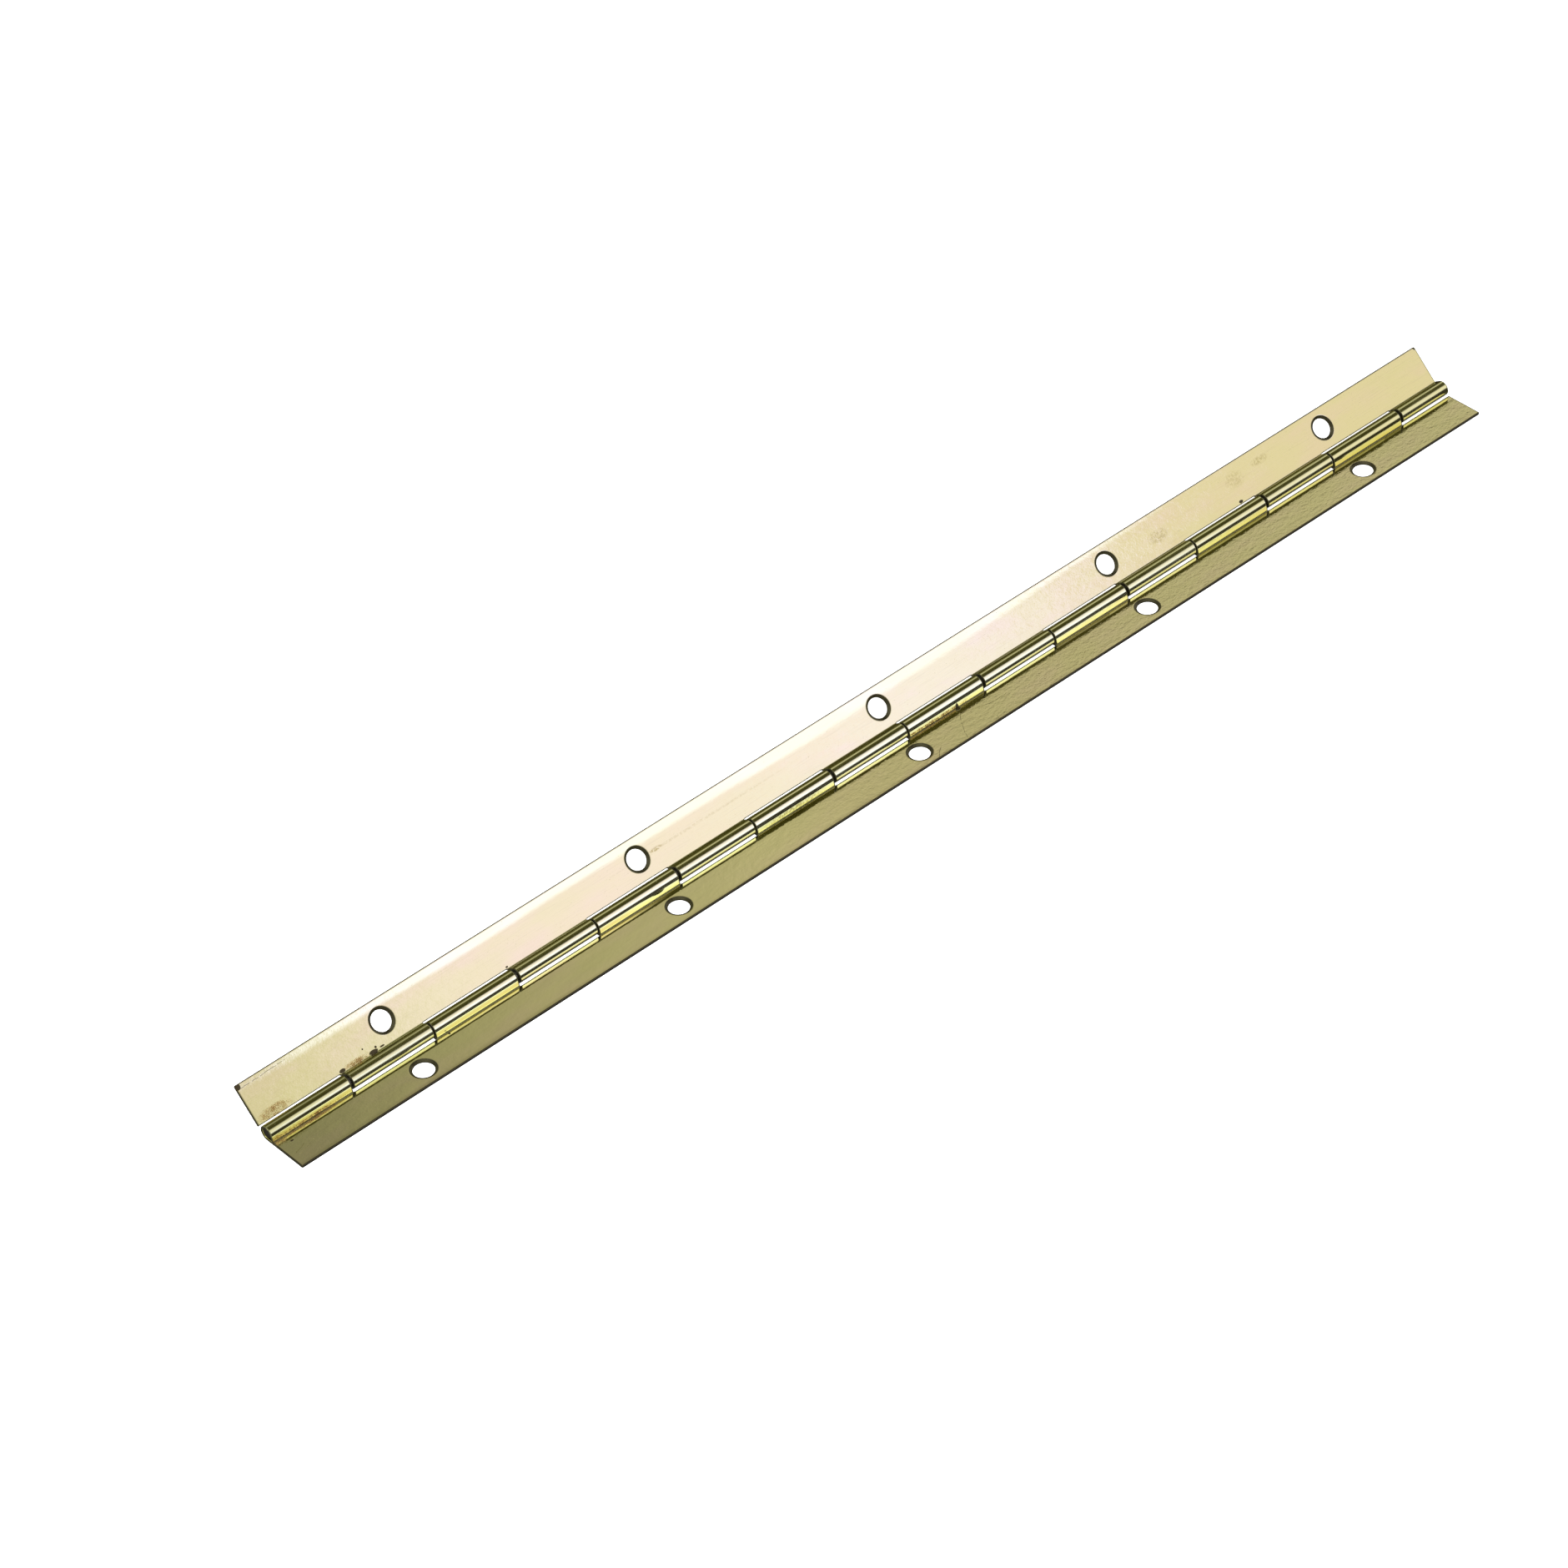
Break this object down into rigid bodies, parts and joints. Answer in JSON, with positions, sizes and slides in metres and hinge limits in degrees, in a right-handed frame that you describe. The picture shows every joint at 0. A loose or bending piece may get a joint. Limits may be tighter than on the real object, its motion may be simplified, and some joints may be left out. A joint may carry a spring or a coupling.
{
  "type": "continuous hinge",
  "caption": "Brass-plated continuous (piano) hinge: two narrow countersunk leaves with rolled interlocking knuckles on one full-length pin.",
  "frame": {"origin": "on the front leaf's flat mounting face, straight below the pin's axis, halfway along the hinge", "axes": "+X along the pin, from the end whose last knuckle belongs to the front leaf; -Y towards the front leaf's outer edge; +Z out of the front leaf's countersunk face. The pin's axis is 1.55 mm above the origin."},
  "size_m": [0.3, 0.0181, 0.0078],
  "materials": {
    "front_leaf_brass": "bright electro-brassed sheet, faintly rippled",
    "back_leaf_brass": "bright electro-brassed sheet",
    "pin_steel": "drawn wire, dull"
  },
  "bodies": {
    "front_leaf": {"front_leaf": "front_leaf_brass", "hinge_pin": "pin_steel"},
    "back_leaf": {"back_leaf": "back_leaf_brass"}
  },
  "joints": [
    {"name": "leaf_fold", "type": "hinge", "parent": "front_leaf", "child": "back_leaf", "pos_m": [0, 0, 0.00155], "axis": [1, 0, 0], "range_deg": [-135, 145]}
  ]
}
